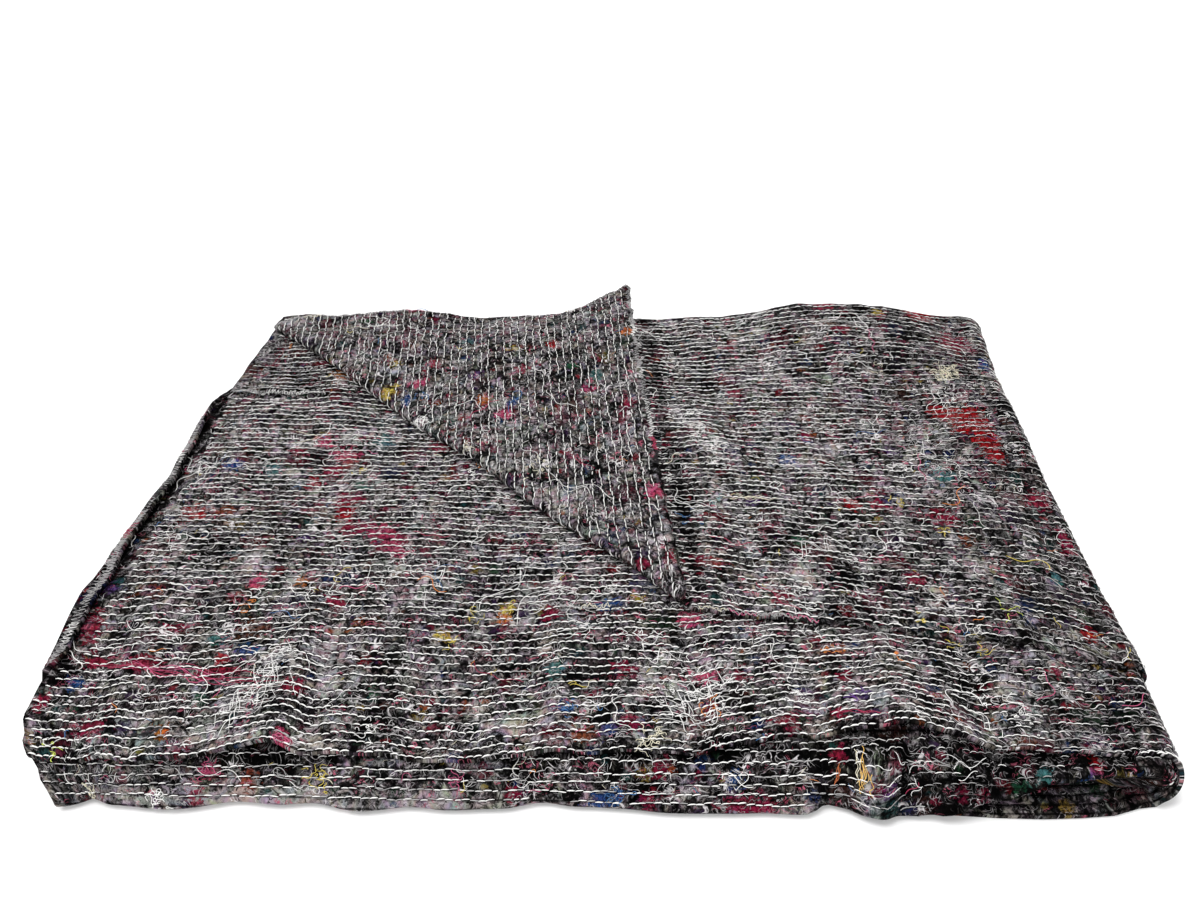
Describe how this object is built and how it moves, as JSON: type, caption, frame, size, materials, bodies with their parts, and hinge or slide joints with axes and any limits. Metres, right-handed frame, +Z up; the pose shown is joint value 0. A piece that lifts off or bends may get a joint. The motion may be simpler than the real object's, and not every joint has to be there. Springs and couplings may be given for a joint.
{
  "type": "folded moving blanket",
  "caption": "Recycled-felt moving blanket with white stitch rows, folded flat into a layered rectangle, its front left top corner turned back diagonally over the stack",
  "frame": {"origin": "centre of the folded stack's bounding box, on the surface that it lies on", "axes": "+Z up from the surface; +X to the right along the stitch rows, towards the book fold; +Y from the open front edges to the folds at the back"},
  "size_m": [0.7719, 0.569, 0.0609],
  "materials": {
    "felt": "matte mottled dark grey recycled felt with light grey, black and coloured flecks and white stitch rows"
  },
  "bodies": {
    "root": {"blanket": "felt"}
  },
  "joints": []
}
